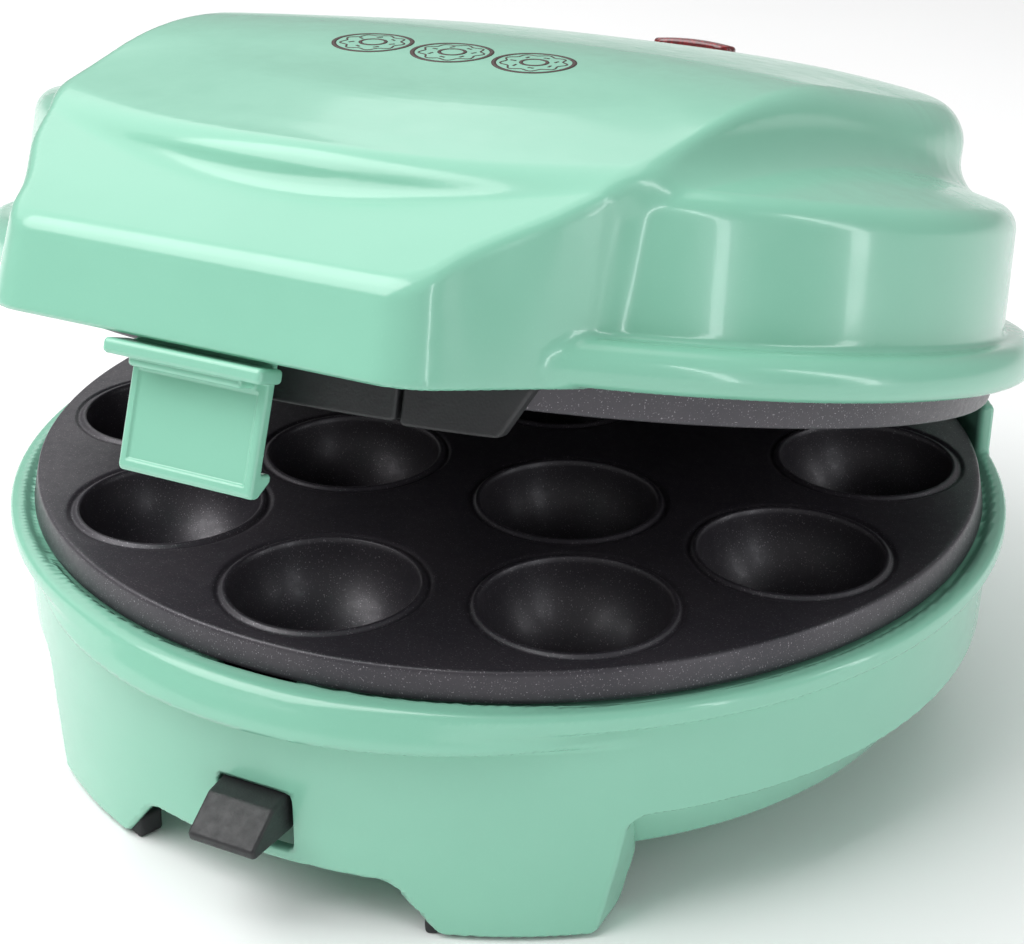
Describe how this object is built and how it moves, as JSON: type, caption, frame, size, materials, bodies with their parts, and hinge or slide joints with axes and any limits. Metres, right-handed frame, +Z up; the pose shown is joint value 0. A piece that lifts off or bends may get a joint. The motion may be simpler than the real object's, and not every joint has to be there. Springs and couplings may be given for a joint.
{
  "type": "donut maker",
  "caption": "Round clam-shell donut and cake ball maker: hinged lid, removable cavity plates, heaters, front latch and a release for each plate.",
  "frame": {"origin": "on the table, at the bottom middle of the appliance as it stands open at rest", "axes": "+X to the right seen from the front, +Y towards the hinge at the back, +Z up"},
  "size_m": [0.22, 0.2374, 0.1454],
  "materials": {
    "mint_plastic": "glossy moulded mint green",
    "nonstick_coat": "satin dark non-stick coating on cast aluminium",
    "black_plastic": "fine matt black",
    "steel": "plain drawn steel",
    "shield_sheet": "bright pressed sheet",
    "rubber": "soft matt grey black",
    "white_plastic": "natural white nylon",
    "wire_cover": "heat-proof wire sleeve",
    "red_lens": "clear dark red"
  },
  "bodies": {
    "base": {"base_housing": "mint_plastic", "bottom_cover": "mint_plastic", "rubber_feet": "rubber", "cover_screws": "steel", "lower_plate": "nonstick_coat", "lower_reflector": "shield_sheet", "lower_element": "steel", "lower_clips": "steel", "thermostat": "steel", "base_fuse": "white_plastic", "terminal_block": "white_plastic", "cord_gland": "black_plastic", "base_wiring": "wire_cover", "lever_pin": "steel", "lever_spring": "steel", "hinge_pins": "steel"},
    "lid": {"lid_housing": "mint_plastic", "nose_underplate": "mint_plastic", "upper_plate": "nonstick_coat", "upper_reflector": "shield_sheet", "upper_element": "steel", "upper_clips": "steel", "lid_fuse": "white_plastic", "lid_wiring": "wire_cover", "lamp_holder": "white_plastic", "indicator_lens": "red_lens", "lid_screws": "steel", "latch_pin": "steel", "catch_guide": "black_plastic", "catch_spring": "steel"},
    "lock": {"latch": "mint_plastic"},
    "lever": {"release_lever": "black_plastic"},
    "catch": {"release_catch": "black_plastic"}
  },
  "joints": [
    {"name": "lid_hinge", "type": "hinge", "parent": "base", "child": "lid", "pos_m": [0, 0.099, 0.074], "axis": [-1, 0, 0], "range_deg": [-14.6, 80]},
    {"name": "latch_swing", "type": "hinge", "parent": "lid", "child": "lock", "pos_m": [0, -0.1084, 0.12079], "axis": [-1, 0, 0], "range_deg": [-6, 2.8]},
    {"name": "lever_press", "type": "hinge", "parent": "base", "child": "lever", "pos_m": [0, -0.097, 0.024], "axis": [1, 0, 0], "range_deg": [0, 8], "stiffness_Nm_per_rad": 0.3, "springref_deg": -6.88},
    {"name": "catch_slide", "type": "slide", "parent": "lid", "child": "catch", "axis": [0, -0.9677, 0.2521], "range_m": [0, 0.0018], "stiffness_N_per_m": 600, "springref_m": -0.002}
  ]
}
